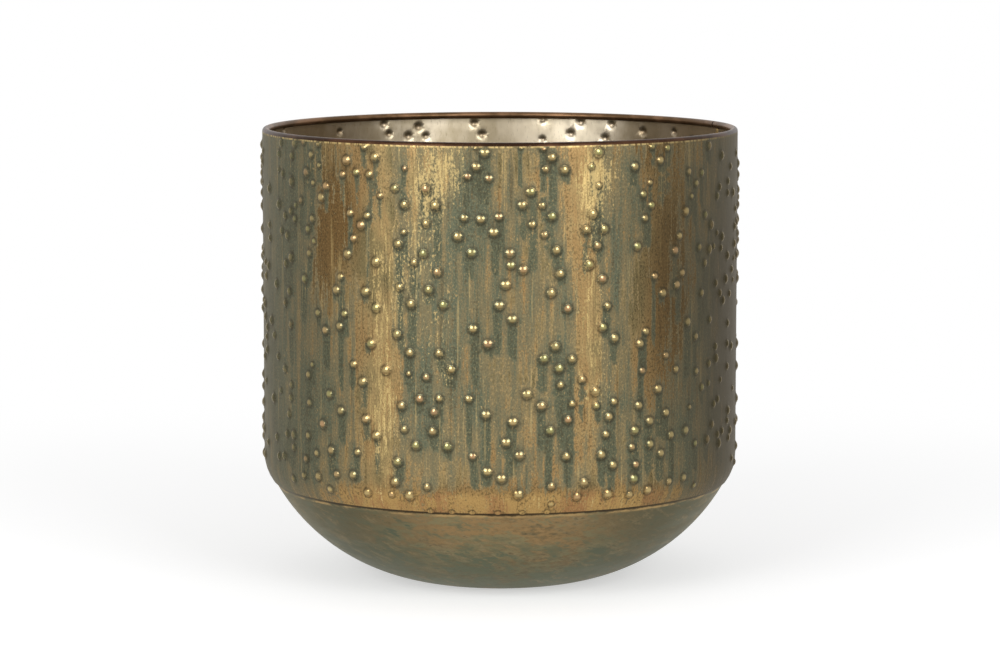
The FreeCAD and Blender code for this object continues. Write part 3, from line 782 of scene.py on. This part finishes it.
def mask(tree, value, low, high):
    """Nothing below low, one above high, and smooth between."""
    settings = {"Value": value, "From Min": low, "From Max": high}
    return put(tree, "MapRange", settings, interpolation_type="SMOOTHSTEP").outputs["Result"]


def turn_to(tree, under, over, amount):
    """A value that goes from one number to another by an amount."""
    return put(tree, "Mix", {"Factor": amount, 2: under, 3: over}, data_type="FLOAT").outputs[0]


def as_light(colour):
    """A colour as it is written on screen, turned into light. A socket stays as it is."""
    if isinstance(colour, bpy.types.NodeSocket):
        return colour
    shares = [part / 255 for part in colour]
    light = [share / 12.92 if share <= 0.04045 else ((share + 0.055) / 1.055) ** 2.4 for share in shares]
    return (*light, 1.0)


def paint(tree, under, over, amount):
    """Lays one colour over another by an amount."""
    settings = {"Factor": amount, 6: as_light(under), 7: as_light(over)}
    return put(tree, "Mix", settings, data_type="RGBA").outputs[2]


def layered(tree, colour, *layers):
    """Lays colours over one another, each where its value passes from low to high."""
    for over, value, low, high, *strengths in layers:
        amount = mask(tree, value, low, high)
        for strength in strengths:
            amount = times(tree, amount, strength)
        colour = paint(tree, colour, over, amount)
    return colour


print("brass as light:", [round(part, 3) for part in as_light((186, 156, 104))])

# %% [markdown]
# ## The finish of the wall
#
# The wall is brass-plated sheet that was greened with acid and rubbed back. The green clings round
# the domes and in the tongues below them, and in upright streaks elsewhere. One mask decides where
# it lies: washes, nearness to a dome, tongues and stretched noises are added up and cut at a soft
# edge. The green is darker in the tongues, and fine lines and grit lie over everything but the
# domes. The tops of the domes are bare and polished. Painted shade darkens their lower halves, the
# crease round each dome's foot and the wall towards its two sides, and a broken pale line painted
# along the crease under the rolled rim is a highlight.

# %% Colours of the wall
BRASS = (150, 128, 87)
ORANGE_BRASS = (144, 117, 77)
COPPER_BROWN = (110, 85, 51)
OLIVE_BRASS = (112, 101, 70)
FOOT_GOLD = (170, 138, 86)
FOOT_AMBER = (152, 113, 74)
GREY_GREEN = (113, 104, 77)
BLUE_GREEN = (91, 95, 76)
RUN_GREEN = (80, 83, 64)
DARK_OLIVE = (52, 47, 33)
PALE_GOLD = (202, 176, 118)
POLISHED = (178, 157, 108)
POLISHED_PINK = (178, 143, 104)
POLISHED_GREEN = (158, 154, 102)
# Painted shade on the lower half of a dome.
DOME_UNDER_SHADE = (94, 74, 44)
# Painted shade for the wall's two sides.
SIDE_SHADE = (51, 45, 32)


print("smoke as light:", [round(part, 3) for part in as_light(SIDE_SHADE)])

# %% Noises of the wall
WALL_GRAINS = {
    "broad": (8.5, 75, 2.0, 0.55, 0.0),
    "streak": (3.6, 55, 3.0, 0.60, 3.0),
    "fine": (1.8, 16, 3.0, 0.65, 7.0),
    "speck": (1.3, 2.1, 2.0, 0.70, 11.0),
    "cloud": (30, 60, 3.0, 0.60, 19.0),
    "line": (3.2, 90, 4.0, 0.64, 29.0),
    "grit": (1.0, 1.4, 2.0, 0.60, 41.0),
}


def strip_noises(tree, place):
    """The wall's noises by name, with grains so many millimetres wide and long on the strip."""
    noises = {}
    for name, (width, length, detail, roughness, shift) in WALL_GRAINS.items():
        stretch = (GIRTH / (width * MM), GIRTH / (length * MM), 1)
        noises[name] = grain(tree, place, stretch, detail, roughness, shift)
    return SimpleNamespace(**noises)


def green_amount(tree, noise):
    """How strongly the acid took: green covers the brass from about 0.4."""
    return sums(
        tree,
        stored(tree, "green_wash"),
        (stored(tree, "near_dome"), 0.16),
        (stored(tree, "tongue"), 0.60),
        (stored(tree, "foot_wash"), -0.38),
        (noise.broad, 0.90),
        (noise.streak, 1.00),
        (noise.fine, 0.85),
        (noise.speck, 0.80),
        -1.42,
    )


print("noises:", ", ".join(WALL_GRAINS))


# %% Colours of the bare brass and of the green
def bare_colour(tree, noise, amount, pale):
    """Rubbed brass: olive, orange and brown clouds, a gold foot, pale streaks, dark specks."""
    foot = layered(
        tree, FOOT_GOLD,
        (FOOT_AMBER, sums(tree, noise.cloud, (noise.fine, 0.4)), 0.66, 0.80),
        (PALE_GOLD, sums(tree, noise.fine, (noise.speck, 0.6)), 0.86, 1.02),
    )
    brown = sums(tree, stored(tree, "copper_wash"), (noise.streak, 0.5), -0.25)
    return layered(
        tree, BRASS,
        (OLIVE_BRASS, noise.cloud, 0.46, 0.66),
        (ORANGE_BRASS, sums(tree, noise.cloud, (noise.streak, 0.5)), 0.80, 0.62),
        (COPPER_BROWN, brown, 0.1, 0.9),
        (foot, stored(tree, "foot_wash"), 0.15, 0.85),
        (PALE_GOLD, pale, 0.26, 0.50),
        (DARK_OLIVE, amount, 0.05, 0.36, mask(tree, noise.speck, 0.50, 0.60), 0.60),
    )


def green_colour(tree, noise, amount, green, pale):
    """The green: bluer where it is thick, darker in the tongues, rubbed in specks and streaks."""
    thick = mask(tree, amount, 0.50, 0.95)
    runs = sums(tree, stored(tree, "tongue"), (noise.fine, 0.5), (green, 0.2))
    rubbed = sums(tree, (noise.fine, 0.8), (noise.speck, 1.2), (noise.cloud, 0.5), (thick, -0.12))
    return layered(
        tree, GREY_GREEN,
        (BLUE_GREEN, thick, 0.1, 1.0),
        (RUN_GREEN, runs, 0.64, 0.74, 0.60),
        (BRASS, rubbed, 1.28, 1.44, 0.80),
        (DARK_OLIVE, rubbed, 1.14, 0.98, 0.45),
        (PALE_GOLD, pale, 0.30, 0.52, 0.75),
    )


print("bare brass on screen:", BRASS, "and thick green:", BLUE_GREEN)


# %% Details over both, and the polished domes
GREEN_FROM, GREEN_FULL = 0.38, 0.53
# The pale line along the crease under the rim is a painted highlight.
CREASE_FROM = (straight_end - 1.3 * MM) / GIRTH
CREASE_TO = (straight_end - 0.7 * MM) / GIRTH


def with_details(tree, noise, place, colour, side_shade):
    """Adds the painted highlight along the crease under the rim, fine lines, grit, painted shade at the
    wall's two sides, and painted shade round the foot of each dome.
    """
    up_strip = along_axis(tree, place, "Y")
    broken = mask(tree, noise.streak, 0.44, 0.54)
    colour = layered(
        tree, colour,
        # Painted highlight along the crease under the rim, broken by noise.
        (PALE_GOLD, up_strip, CREASE_FROM, CREASE_TO, broken, 0.85),
        (DARK_OLIVE, noise.line, 0.58, 0.68, 0.40),
        (PALE_GOLD, noise.line, 0.41, 0.33, 0.28),
        (DARK_OLIVE, noise.grit, 0.50, 0.68, 0.28),
        (PALE_GOLD, noise.grit, 0.46, 0.32, 0.15),
    )
    # Painted shade towards the wall's two sides.
    colour = paint(tree, colour, SIDE_SHADE, side_shade)
    # Painted shade in the crease round each dome's foot.
    return paint(tree, colour, DARK_OLIVE, times(tree, stored(tree, "dome_foot_shade"), 0.85))


def with_polished_domes(tree, colour, side_shade):
    """Bares the tops of the domes, each in its own hue and with painted shade on its lower half."""
    hue = stored(tree, "dome_hue")
    polished = layered(
        tree, POLISHED,
        (POLISHED_PINK, hue, 0.35, 1.0),
        (POLISHED_GREEN, hue, -0.35, -1.0),
        # Painted shade on each dome's lower half.
        (DOME_UNDER_SHADE, stored(tree, "dome_under_shade"), 0.0, 0.65),
    )
    # Painted shade at the two sides also dulls the caps there.
    bright = times(tree, stored(tree, "dome_polish"), turn_to(tree, 1.0, 0.4, side_shade))
    return layered(tree, colour, (polished, stored(tree, "dome_share"), 0.36, 0.90, bright))


print(f"the crease is {(CREASE_TO - CREASE_FROM) * GIRTH / MM:.1f} mm high")


# %% The greened brass of the wall
def make_greened_brass():
    """Brass-plated sheet, greened and rubbed back."""
    metal, tree, shader = new_metal("greened_brass")
    place = put(tree, "UVMap", uv_map="strip").outputs["UV"]
    noise = strip_noises(tree, place)
    amount = green_amount(tree, noise)
    green = mask(tree, amount, GREEN_FROM, GREEN_FULL)
    pale = sums(tree, (stored(tree, "pale_wash"), 0.50), (noise.fine, 0.9), (noise.speck, 0.9), -0.95)
    bare = bare_colour(tree, noise, amount, pale)
    colour = paint(tree, bare, green_colour(tree, noise, amount, green, pale), green)
    # Painted shade towards the wall's two sides, read from the points.
    side_shade = stored(tree, "side_shade_wash")
    colour = with_details(tree, noise, place, colour, side_shade)
    smooth = mask(tree, stored(tree, "dome_share"), 0.12, 0.50)
    rough = sums(tree, turn_to(tree, 0.40, 0.52, green), (noise.fine, 0.10), -0.05)
    relief = sums(tree, (green, 0.6), (noise.speck, 0.5), (noise.fine, 0.5))
    relief = times(tree, relief, turn_to(tree, 1.0, 0.10, smooth))
    feed(tree, shader, {
        "Base Color": with_polished_domes(tree, colour, side_shade),
        "Metallic": turn_to(tree, turn_to(tree, 0.88, 0.45, green), 0.95, smooth),
        "Roughness": turn_to(tree, rough, 0.18, smooth),
        "Specular IOR Level": 0.25,
        "Specular Tint": (1.0, 0.90, 0.74, 1.0),
        "Normal": bumped(tree, relief, 0.35, 0.25 * MM),
    })
    return metal


greened_brass = make_greened_brass()
print(greened_brass.name, "has", len(greened_brass.node_tree.nodes), "nodes")

# %% [markdown]
# ## The inside and the rolled rim
#
# The inside was never greened: it is pale brass with a satin gleam, a little clouded. Painted shade
# makes it browner towards its two sides and duller in the dimples. The rolled rim is dark copper
# brown outside and turns to a lighter copper brown towards the inside, so its colour changes with the
# radius.

# %% The pale brass of the inside
def make_pale_brass():
    """Satin brass of the inside, clouded by handling."""
    metal, tree, shader = new_metal("pale_brass_inside")
    place = object_place(tree)
    cloud = grain(tree, place, (28, 28, 18), 4.0, 0.6)
    fine = grain(tree, place, (900, 900, 260), 3.0, 0.6, 5.0)
    sides = sums(tree, off_middle(tree, place), (cloud, 0.020), -0.010)
    colour = layered(
        tree, (232, 219, 194),
        ((186, 172, 144), cloud, 0.40, 0.62),
        ((120, 100, 68), fine, 0.55, 0.75, 0.35),
        # Painted shade towards the inside's two sides.
        ((104, 86, 62), sides, 0.050, 0.125, 0.85),
        # Painted shade in the dimples.
        ((122, 104, 80), stored(tree, "dome_share"), 0.05, 0.60, 0.65),
    )
    feed(tree, shader, {
        "Base Color": colour,
        "Metallic": 0.92,
        "Roughness": sums(tree, (cloud, 0.18), 0.28),
        "Normal": bumped(tree, fine, 0.15, 0.2 * MM),
    })
    return metal


pale_brass = make_pale_brass()
print(pale_brass.name, "has", len(pale_brass.node_tree.nodes), "nodes")


# %% The waxed copper brown of the rim
RIM_TONE_FROM, RIM_TONE_TO = 148.6 * MM, 147.4 * MM


def make_two_tone_rim():
    """Dark copper-brown rim with rubbed places."""
    metal, tree, shader = new_metal("two_tone_rim")
    place = object_place(tree)
    cloud = grain(tree, place, (45, 45, 90), 4.0, 0.6)
    fine = grain(tree, place, (700, 700, 1500), 3.0, 0.65, 4.0)
    level_place = put(tree, "VectorMath", {0: place, 1: (1, 1, 0)}, operation="MULTIPLY").outputs[0]
    radius = put(tree, "VectorMath", {0: level_place}, operation="LENGTH").outputs["Value"]
    inner = layered(tree, (92, 69, 46), ((126, 96, 70), cloud, 0.42, 0.62))
    colour = layered(
        tree, (50, 32, 20),
        ((78, 52, 36), cloud, 0.42, 0.68),
        (inner, radius, RIM_TONE_FROM, RIM_TONE_TO),
        ((150, 118, 92), fine, 0.60, 0.76, 0.40),
    )
    feed(tree, shader, {
        "Base Color": colour,
        "Metallic": 0.85,
        "Specular IOR Level": 0.25,
        "Roughness": sums(tree, (fine, 0.25), 0.26),
    })
    return metal


two_tone_rim = make_two_tone_rim()
print(two_tone_rim.name, "has", len(two_tone_rim.node_tree.nodes), "nodes")

# %% [markdown]
# ## Thickness
#
# The net is only the outer skin. Solidify gives it the sheet's 0.8 mm inwards and closes its edges.
# It is applied at once, because the cut edges have to be marked sharp on the finished mesh.

# %% Give the sheet its thickness
SHARP_FROM = math.radians(52)


def keep_modifiers(piece):
    """Makes a piece's modifiers part of its mesh."""
    seen = piece.evaluated_get(bpy.context.evaluated_depsgraph_get())
    finished = bpy.data.meshes.new_from_object(seen)
    piece.modifiers.clear()
    piece.data = finished
    finished.name = piece.name


for material in (greened_brass, pale_brass, two_tone_rim, two_tone_rim):
    wall_mesh.materials.append(material)
thickness = wall.modifiers.new("sheet", "SOLIDIFY")
thickness.thickness = SHEET
thickness.offset = -1
thickness.use_even_offset = True
thickness.material_offset = 1
keep_modifiers(wall)
wall.data.set_sharp_from_angle(angle=SHARP_FROM)
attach(wall, "root")
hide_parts("side_wall")
print("wall:", len(wall.data.polygons), "triangles")

# %% [markdown]
# ## The pressed bowl
#
# The bowl is one smooth pressing, and its solid already has the right shape, so it stays and only
# gets its finish: patina brushed on in slightly tilted strokes, olive and grey-green, warmer in the
# middle. Painted shade darkens it towards the two sides, and just under the wall's foot edge a
# painted highlight line and a painted shadow line stand for the light and shade at the step of the
# seam. Object coordinates squeezed in height turn plain noise into such strokes.

# %% The brushed patina of the bowl
# Heights of the painted highlight line and the painted shadow line at the step under the wall's foot
# edge.
SEAM_HIGHLIGHT_BAND = (0.0590, 0.0602)
CREVICE_SHADOW_BAND = (0.0606, 0.0614)


def bowl_colour(tree, place, level, patch, stroke, daub, fine, warm):
    """Olive, warm and green strokes, light daubs, dark blotches, painted shade at the sides, and the
    painted highlight and shadow lines on top.
    """
    daubs = sums(tree, daub, (fine, 0.5))
    blotch = sums(tree, (fine, 0.55), (daub, 0.45), (patch, 0.30))
    spared = turn_to(tree, 1.0, 0.55, mask(tree, daubs, 0.76, 0.90))
    shaken = sums(tree, level, (fine, 0.0016), (patch, 0.0020), -0.0018)
    return layered(
        tree, (132, 120, 86),
        ((104, 101, 76), stroke, 0.40, 0.60),
        ((144, 118, 80), warm, 0.99, 1.12),
        ((90, 96, 75), warm, 0.96, 0.80),
        ((158, 144, 110), daubs, 0.78, 0.90, 0.55),
        ((58, 54, 38), blotch, 0.60, 0.84, 0.75),
        # Painted shade towards the bowl's two sides.
        ((68, 73, 57), off_middle(tree, place), 0.020, 0.105, 0.86, spared),
        # Painted highlight line and painted shadow line just under the wall's foot edge.
        ((178, 148, 98), shaken, *SEAM_HIGHLIGHT_BAND, mask(tree, stroke, 0.40, 0.60), 0.8),
        ((44, 34, 22), shaken, *CREVICE_SHADOW_BAND, 0.9),
    )


def make_brushed_patina():
    """Patina brushed round the bowl in level strokes."""
    metal, tree, shader = new_metal("brushed_patina")
    place = object_place(tree)
    patch = grain(tree, place, (20, 20, 34), 4.0, 0.60, 2.0)
    stroke = grain(tree, tilted(tree, place, 0.12), (40, 40, 200), 5.0, 0.68, 8.0)
    daub = grain(tree, tilted(tree, place, -0.42), (70, 70, 240), 4.0, 0.65, 17.0)
    fine = grain(tree, place, (230, 230, 620), 4.0, 0.72, 13.0)
    level = along_axis(tree, place, "Z")
    height = mask(tree, level, 0.010, 0.052)
    warm = sums(tree, (patch, 1.0), (stroke, 0.7), (daub, 0.8), (fine, 0.4), (height, 0.40), -0.72)
    feed(tree, shader, {
        "Base Color": bowl_colour(tree, place, level, patch, stroke, daub, fine, warm),
        "Metallic": sums(tree, (warm, 0.35), 0.30),
        "Roughness": sums(tree, (stroke, 0.20), 0.36),
        "Specular IOR Level": 0.3,
        "Specular Tint": (1.0, 0.94, 0.80, 1.0),
        "Normal": bumped(tree, sums(tree, stroke, (fine, 0.5)), 0.3, 0.3 * MM),
    })
    return metal


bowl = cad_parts["base_bowl"]
bowl.material_slots[0].material = make_brushed_patina()
print("bowl:", len(bowl.data.polygons), "triangles,", bowl.material_slots[0].material.name)

# %% [markdown]
# ## The wire in the rim
#
# The steel wire shows only in the small wedge at the side seam and through the curl's slit. It
# stays as the solid has it, in dull drawn steel.

# %% The drawn steel of the wire
def make_drawn_steel():
    """Dull drawn wire with marks along it."""
    metal, tree, shader = new_metal("drawn_steel")
    place = object_place(tree)
    cloud = grain(tree, place, (160, 160, 160), 3.0)
    fine = grain(tree, place, (1200, 1200, 2600), 2.0, 0.6, 3.0)
    feed(tree, shader, {
        "Base Color": layered(tree, (120, 116, 110), ((88, 78, 66), cloud, 0.4, 0.65)),
        "Metallic": 0.95,
        "Roughness": sums(tree, (fine, 0.3), 0.25),
    })
    return metal


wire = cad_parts["rim_wire"]
wire.material_slots[0].material = make_drawn_steel()
print("wire:", len(wire.data.polygons), "triangles")

# %% [markdown]
# ## The beads of filler
#
# Inside, one bead of filler metal closes the side seam and another joins the wall to the bowl. A
# hand-laid bead is a row of overlapping ripples. Each is a small section drawn out by spin or
# extrude and then swelled and pinched along its length.

# %% The filler, and what both beads need
def make_filler():
    """Brazing filler, a little yellower than the sheet and dull where it wasn't cleaned."""
    metal, tree, shader = new_metal("brazing_filler")
    place = object_place(tree)
    cloud = grain(tree, place, (90, 90, 90), 3.0)
    fine = grain(tree, place, (800, 800, 800), 3.0, 0.6, 3.0)
    layers = ((112, 94, 66), cloud, 0.42, 0.62), ((80, 70, 52), fine, 0.5, 0.7, 0.6)
    feed(tree, shader, {
        "Base Color": layered(tree, (176, 148, 96), *layers),
        "Metallic": 0.85,
        "Roughness": sums(tree, (fine, 0.3), 0.28),
    })
    return metal


filler = make_filler()
BITE = 0.1 * MM
inner_radius = WALL_RADIUS - SHEET


def finish_bead(bead, name, node):
    """Turns a bead's bmesh into a piece that stands for a node."""
    bmesh.ops.recalc_face_normals(bead, faces=bead.faces)
    for face in bead.faces:
        face.smooth = True
    mesh = bpy.data.meshes.new(name)
    bead.to_mesh(mesh)
    bead.free()
    mesh.materials.append(filler)
    piece = set_up(name, mesh)
    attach(piece, "root")
    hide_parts(node)
    print(name, len(mesh.polygons), "faces")


print(filler.name, "has", len(filler.node_tree.nodes), "nodes")

# %% The bead round the joint with the bowl
JOINT_SECTION = ((0, 0), (0, 1), (0.16, 0.92), (0.42, 0.62), (0.70, 0.30), (0.90, 0.08), (1, 0))
JOINT_RIPPLES = 150
JOINT_STEPS = 480
joint_low, joint_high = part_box("base_joint_weld")
leg = joint_high.z - joint_low.z
joint_bead = bmesh.new()
section = [
    joint_bead.verts.new((inner_radius - BITE - across * leg, 0, joint_low.z + up * leg))
    for across, up in JOINT_SECTION
]
ends = zip(section, section[1:] + section[:1])
edges = [joint_bead.edges.new(pair) for pair in ends]
bmesh.ops.spin(
    joint_bead,
    geom=section + edges,
    cent=(0, 0, 0),
    axis=(0, 0, 1),
    angle=math.tau,
    steps=JOINT_STEPS,
    use_merge=True,
)
for vert in joint_bead.verts:
    turn = math.atan2(vert.co.y, vert.co.x)
    ripple = 0.5 + 0.5 * math.cos(JOINT_RIPPLES * turn + 1.2 * math.sin(7 * turn))
    share = (inner_radius - math.hypot(vert.co.x, vert.co.y)) / leg
    if 0.1 < share < 0.95 and vert.co.z > joint_low.z + 0.02 * leg:
        vert.co.x *= 1 + 0.0010 * (ripple - 0.6)
        vert.co.y *= 1 + 0.0010 * (ripple - 0.6)
        vert.co.z += 0.10 * leg * (0.4 - ripple)
finish_bead(joint_bead, "base_joint_bead", "base_joint_weld")

# %% The bead up the side seam
SEAM_SECTION = ((-1, 0), (-0.72, 0.45), (-0.36, 0.85), (0, 1), (0.36, 0.85), (0.72, 0.45), (1, 0))
SEAM_HALF = 2.5 * MM
SEAM_RISE = 0.9 * MM
SEAM_RIPPLE = 4.1 * MM
SEAM_STEPS = 150
seam_low, seam_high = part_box("side_seam_weld")
seam_root = inner_radius - BITE
seam_bead = bmesh.new()
corners = []
for across, up in SEAM_SECTION:
    turn = math.radians(SEAM_TURN - 90) + across * SEAM_HALF / seam_root
    reach = seam_root - up * SEAM_RISE
    corners.append(seam_bead.verts.new((reach * math.cos(turn), reach * math.sin(turn), seam_low.z)))
seam_face = seam_bead.faces.new(corners)
rise = (seam_high.z - seam_low.z) / SEAM_STEPS
for step in range(SEAM_STEPS):
    moved = bmesh.ops.extrude_face_region(seam_bead, geom=[seam_face])["geom"]
    moved_verts = [item for item in moved if isinstance(item, bmesh.types.BMVert)]
    bmesh.ops.translate(seam_bead, vec=(0, 0, rise), verts=moved_verts)
    old_face = seam_face
    seam_face = next(item for item in moved if isinstance(item, bmesh.types.BMFace))
    if step:
        bmesh.ops.delete(seam_bead, geom=[old_face], context="FACES_ONLY")
for vert in seam_bead.verts:
    reach = math.hypot(vert.co.x, vert.co.y)
    crown = (seam_root - reach) / SEAM_RISE
    if crown > 0.1:
        ripple = 0.5 + 0.5 * math.cos(math.tau * vert.co.z / SEAM_RIPPLE)
        shrink = 1 + crown * SEAM_RISE * (0.30 - 0.30 * ripple) / reach
        vert.co.x *= shrink
        vert.co.y *= shrink
finish_bead(seam_bead, "side_seam_bead", "side_seam_weld")

# %% [markdown]
# ## Floor, light and camera
#
# The photograph is a cut-out on white, taken from a little above the rim. The floor is plain and
# pale and keeps the pot's soft shadow. Two soft lights of nearly the same strength stand left and
# right of the camera, because each dome in the photograph carries two small highlights side by
# side. A grey-white sky fills the rest. The camera, reflections and refractions see the sky, and
# the floor far from the pot, as plain white.

# %% The floor
WHITE = (1, 1, 1, 1)
FLOOR_GREY = (0.66, 0.66, 0.66, 1)
FLOOR_GLOW = 0.52
FAR_FLOOR = (0.26, 0.85)
FLOOR_RADIUS = 9.0


def seen_directly(tree):
    """One for the camera's rays, reflections and refractions, and nothing for light that falls."""
    rays = put(tree, "LightPath")
    kinds = ("Is Camera Ray", "Is Glossy Ray", "Is Transmission Ray")
    return sums(tree, *(rays.outputs[kind] for kind in kinds))


def make_white_floor():
    """Matt white that stays white to the camera and in reflections, and still takes a shadow."""
    paper, tree, output = blank_material("white_floor")
    distance = put(tree, "VectorMath", {0: object_place(tree)}, operation="LENGTH").outputs["Value"]
    seen = seen_directly(tree)
    matt = put(tree, "BsdfDiffuse", {"Color": FLOOR_GREY}).outputs[0]
    glow = put(tree, "Emission", {"Color": WHITE, "Strength": times(tree, seen, FLOOR_GLOW)}).outputs[0]
    white = put(tree, "Emission", {"Color": WHITE, "Strength": 1.0}).outputs[0]
    near_pot = put(tree, "AddShader", {0: matt, 1: glow}).outputs[0]
    only_white = times(tree, seen, mask(tree, distance, *FAR_FLOOR))
    surface = put(tree, "MixShader", {0: only_white, 1: near_pot, 2: white}).outputs[0]
    feed(tree, output, {"Surface": surface})
    return paper


floor_shape = bmesh.new()
bmesh.ops.create_circle(floor_shape, cap_ends=True, segments=96, radius=FLOOR_RADIUS)
floor_mesh = bpy.data.meshes.new("floor")
floor_shape.to_mesh(floor_mesh)
floor_shape.free()
floor_mesh.materials.append(make_white_floor())
floor = set_up("floor", floor_mesh)
print("floor at height", floor_mesh.vertices[0].co.z)

# %% The sky
SKY_FILL = 0.51
sky = bpy.data.worlds.new("studio")
sky.use_nodes = True
bpy.context.scene.world = sky
sky_tree = sky.node_tree
sky_tree.nodes.clear()
fill_light = put(sky_tree, "Background", {"Color": WHITE, "Strength": SKY_FILL}).outputs[0]
white_back = put(sky_tree, "Background", {"Color": WHITE, "Strength": 1.0}).outputs[0]
shown = {0: seen_directly(sky_tree), 1: fill_light, 2: white_back}
put(sky_tree, "OutputWorld", {"Surface": put(sky_tree, "MixShader", shown).outputs[0]})
print("sky strength", SKY_FILL)

# %% The soft lights
LIGHT_DISTANCE = 2.4
LIGHT_SIDE = 1.2
POT_MIDDLE = Vector((0, 0, 0.15))


def soft_light(name, azimuth, elevation, watts):
    """A square area light that faces the middle of the pot."""
    lamp = bpy.data.lights.new(name, "AREA")
    lamp.shape = "RECTANGLE"
    lamp.size = lamp.size_y = LIGHT_SIDE
    lamp.energy = watts
    stand = set_up(name, lamp)
    turn, rise = math.radians(azimuth), math.radians(elevation)
    away = Vector((math.sin(turn) * math.cos(rise), -math.cos(turn) * math.cos(rise), math.sin(rise)))
    stand.location = POT_MIDDLE + away * LIGHT_DISTANCE
    stand.rotation_euler = (-away).to_track_quat("-Z", "Y").to_euler()


soft_light("left_softbox", -35, 20, 27)
soft_light("right_softbox", 33, 21, 24)

# %% The camera
CAMERA_TILT = math.radians(83.037)
lens = bpy.data.cameras.new("camera")
lens.sensor_width = 36
lens.lens = 133.24
camera = set_up("camera", lens)
camera.location = (0, -2.3375, 0.4395)
camera.rotation_euler = Euler((CAMERA_TILT, 0, 0))
bpy.context.scene.camera = camera
bpy.context.scene.view_settings.view_transform = "Standard"
print("camera", [round(place, 3) for place in camera.location])

# %% [markdown]
# ## Last step
#
# The dressed pot has to be as large as its solids, but for the domes that stand proud of the wall.

# %% Compare the boxes and finish
bpy.context.view_layer.update()
